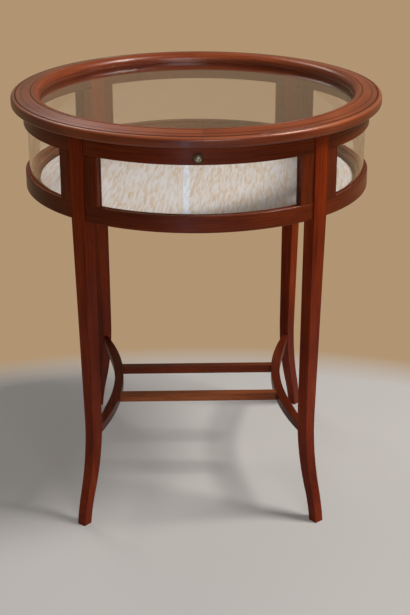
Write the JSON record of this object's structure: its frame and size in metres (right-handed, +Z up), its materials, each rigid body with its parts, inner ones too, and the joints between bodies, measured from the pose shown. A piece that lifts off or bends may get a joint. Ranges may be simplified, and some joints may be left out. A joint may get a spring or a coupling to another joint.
{
  "type": "collectors display table",
  "caption": "Round glazed collectors display table: hinged glass-topped lid, curved glass case with a cloth-covered base panel, sabre legs and a bowed cross stretcher.",
  "frame": {"origin": "on the floor, under the middle of the round lid", "axes": "+Z up, -Y towards the front where the lock is, +X to the right seen from the front"},
  "size_m": [0.653, 0.653, 0.74],
  "materials": {
    "lid_wood": "french polished mahogany, lid frame",
    "case_wood": "french polished mahogany, rails, stiles and beads",
    "leg_wood": "french polished mahogany, legs and stretchers",
    "board_wood": "waxed plywood, underside",
    "pane_glass": "clear float glass",
    "lining_cloth": "ivory slub silk over a padded panel",
    "hinge_brass": "satin",
    "lock_brass": "aged",
    "screw_steel": "zinc plated"
  },
  "bodies": {
    "case": {"upper_rail_right": "case_wood", "lower_rail_right": "case_wood", "stile_right_back": "case_wood", "stile_right_front": "case_wood", "glass_pane_right": "pane_glass", "glazing_beads_right": "case_wood", "upper_rail_back": "case_wood", "lower_rail_back": "case_wood", "stile_back_left": "case_wood", "stile_back_right": "case_wood", "glass_pane_back": "pane_glass", "glazing_beads_back": "case_wood", "upper_rail_left": "case_wood", "lower_rail_left": "case_wood", "stile_left_front": "case_wood", "stile_left_back": "case_wood", "glass_pane_left": "pane_glass", "glazing_beads_left": "case_wood", "upper_rail_front": "case_wood", "lower_rail_front": "case_wood", "stile_front_right": "case_wood", "stile_front_left": "case_wood", "glass_pane_front": "pane_glass", "glazing_beads_front": "case_wood", "leg_back_right": "leg_wood", "leg_back_left": "leg_wood", "leg_front_left": "leg_wood", "leg_front_right": "leg_wood", "curved_stretcher_left": "leg_wood", "hinge_leaf_case_left": "hinge_brass", "hinge_pin_left": "hinge_brass", "curved_stretcher_right": "leg_wood", "hinge_leaf_case_right": "hinge_brass", "hinge_pin_right": "hinge_brass", "straight_stretcher_front": "leg_wood", "straight_stretcher_back": "leg_wood", "bottom_board": "board_wood", "board_screws": "screw_steel", "display_lining": "lining_cloth", "hinge_screws_case": "hinge_brass", "lock_housing": "lock_brass", "lock_nut": "lock_brass"},
    "lid": {"lid_segment_back_right": "lid_wood", "lid_segment_back_left": "lid_wood", "lid_segment_front_left": "lid_wood", "lid_segment_front_right": "lid_wood", "hinge_leaf_lid_left": "hinge_brass", "hinge_leaf_lid_right": "hinge_brass", "lid_splines": "lid_wood", "lid_glass": "pane_glass", "lid_glass_retainer": "lid_wood", "hinge_screws_lid": "hinge_brass", "lid_keeper": "lock_brass", "keeper_screws": "lock_brass"},
    "lock": {"lock_plug": "lock_brass", "lock_tongue": "lock_brass", "lock_tongue_screw": "lock_brass"}
  },
  "joints": [
    {"name": "lid_hinge", "type": "hinge", "parent": "case", "child": "lid", "pos_m": [0, 0.309, 0.71685], "axis": [-1, 0, 0], "range_deg": [0, 95]},
    {"name": "lock_turn", "type": "hinge", "parent": "case", "child": "lock", "pos_m": [-0.003, -0.3, 0.696], "axis": [0, 1, 0], "range_deg": [0, 90]}
  ]
}
